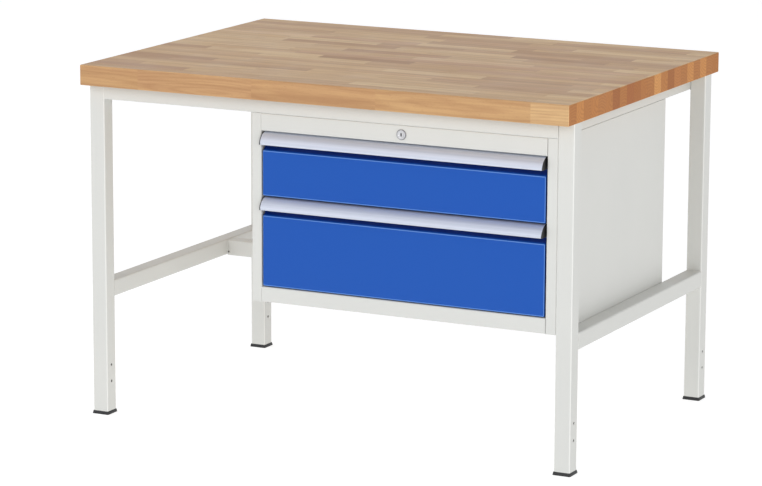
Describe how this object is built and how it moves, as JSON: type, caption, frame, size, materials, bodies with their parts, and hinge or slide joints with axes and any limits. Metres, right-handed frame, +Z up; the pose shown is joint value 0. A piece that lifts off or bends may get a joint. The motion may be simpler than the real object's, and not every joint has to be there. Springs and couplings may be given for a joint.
{
  "type": "workbench",
  "caption": "Workbench with a solid beech top on a square-tube frame and a hanging sheet-steel drawer housing with aluminium grip strips, ball-runner drawers and a central lock.",
  "frame": {"origin": "on the floor under the centre of the worktop", "axes": "+X along the bench to the user's right, -Y towards the user, +Z up"},
  "size_m": [1.25, 0.9, 0.85],
  "materials": {
    "beech": "oiled beech lamellae glued up in staves",
    "frame_grey": "light grey powder coat, satin",
    "drawer_blue": "gentian blue powder coat, satin",
    "aluminium": "clear anodised extrusion",
    "black_plastic": "moulded, matt",
    "zinc": "bright zinc plated",
    "lock_nickel": "nickel plated"
  },
  "bodies": {
    "bench": {"worktop": "beech", "worktop_tabs": "frame_grey", "worktop_screws": "zinc", "top_rail_front": "frame_grey", "top_rail_rear": "frame_grey", "top_rail_left": "frame_grey", "top_rail_right": "frame_grey", "side_rail_left": "frame_grey", "side_rail_right": "frame_grey", "cross_beam": "frame_grey", "leg_front_left": "frame_grey", "leg_front_right": "frame_grey", "leg_rear_left": "frame_grey", "leg_rear_right": "frame_grey", "foot_front_left": "black_plastic", "foot_front_right": "black_plastic", "foot_rear_left": "black_plastic", "foot_rear_right": "black_plastic", "housing_side_left": "frame_grey", "housing_side_right": "frame_grey", "housing_top": "frame_grey", "housing_fascia": "frame_grey", "housing_bottom": "frame_grey", "housing_back": "frame_grey", "housing_bolts": "zinc", "housing_washers": "zinc", "runner_posts_left": "frame_grey", "runner_posts_right": "frame_grey", "lock_case": "lock_nickel", "lock_nut": "lock_nickel", "rod_bearing": "zinc", "bar_guides": "zinc", "upper_runner_outer_left": "zinc", "upper_runner_outer_right": "zinc", "lower_runner_outer_left": "zinc", "lower_runner_outer_right": "zinc"},
    "lock": {"lock_cylinder": "lock_nickel", "lock_rod": "zinc"},
    "locking_bar": {"locking_bar": "zinc"},
    "upper_drawer": {"upper_front": "drawer_blue", "upper_tray": "frame_grey", "upper_grip": "aluminium", "upper_grip_caps": "black_plastic", "upper_screws": "zinc", "upper_catch": "zinc", "upper_runner_inner_left": "zinc", "upper_runner_inner_right": "zinc"},
    "upper_middle_runner_left": {"upper_runner_middle_left": "zinc"},
    "upper_middle_runner_right": {"upper_runner_middle_right": "zinc"},
    "lower_drawer": {"lower_front": "drawer_blue", "lower_tray": "frame_grey", "lower_grip": "aluminium", "lower_grip_caps": "black_plastic", "lower_screws": "zinc", "lower_catch": "zinc", "lower_runner_inner_left": "zinc", "lower_runner_inner_right": "zinc"},
    "lower_middle_runner_left": {"lower_runner_middle_left": "zinc"},
    "lower_middle_runner_right": {"lower_runner_middle_right": "zinc"}
  },
  "joints": [
    {"name": "upper_drawer_slide", "type": "slide", "parent": "bench", "child": "upper_drawer", "axis": [0, -1, 0], "range_m": [0, 0.55]},
    {"name": "upper_middle_slide_left", "type": "slide", "parent": "bench", "child": "upper_middle_runner_left", "axis": [0, -1, 0], "range_m": [0, 0.275]},
    {"name": "upper_middle_slide_right", "type": "slide", "parent": "bench", "child": "upper_middle_runner_right", "axis": [0, -1, 0], "range_m": [0, 0.275]},
    {"name": "lower_drawer_slide", "type": "slide", "parent": "bench", "child": "lower_drawer", "axis": [0, -1, 0], "range_m": [0, 0.55]},
    {"name": "lower_middle_slide_left", "type": "slide", "parent": "bench", "child": "lower_middle_runner_left", "axis": [0, -1, 0], "range_m": [0, 0.275]},
    {"name": "lower_middle_slide_right", "type": "slide", "parent": "bench", "child": "lower_middle_runner_right", "axis": [0, -1, 0], "range_m": [0, 0.275]},
    {"name": "lock_turn", "type": "hinge", "parent": "bench", "child": "lock", "pos_m": [0.198, -0.412, 0.7445], "axis": [0, 1, 0], "range_deg": [0, 90]},
    {"name": "bar_lift", "type": "slide", "parent": "bench", "child": "locking_bar", "axis": [0, 0, 1], "range_m": [0, 0.01414]}
  ],
  "couplings": [
    {"joint": "upper_middle_slide_left", "follows": "upper_drawer_slide", "ratio": 0.5},
    {"joint": "upper_middle_slide_right", "follows": "upper_drawer_slide", "ratio": 0.5},
    {"joint": "lower_middle_slide_left", "follows": "lower_drawer_slide", "ratio": 0.5},
    {"joint": "lower_middle_slide_right", "follows": "lower_drawer_slide", "ratio": 0.5},
    {"joint": "lock_turn", "follows": "bar_lift", "rad_per_m": 111.08}
  ]
}
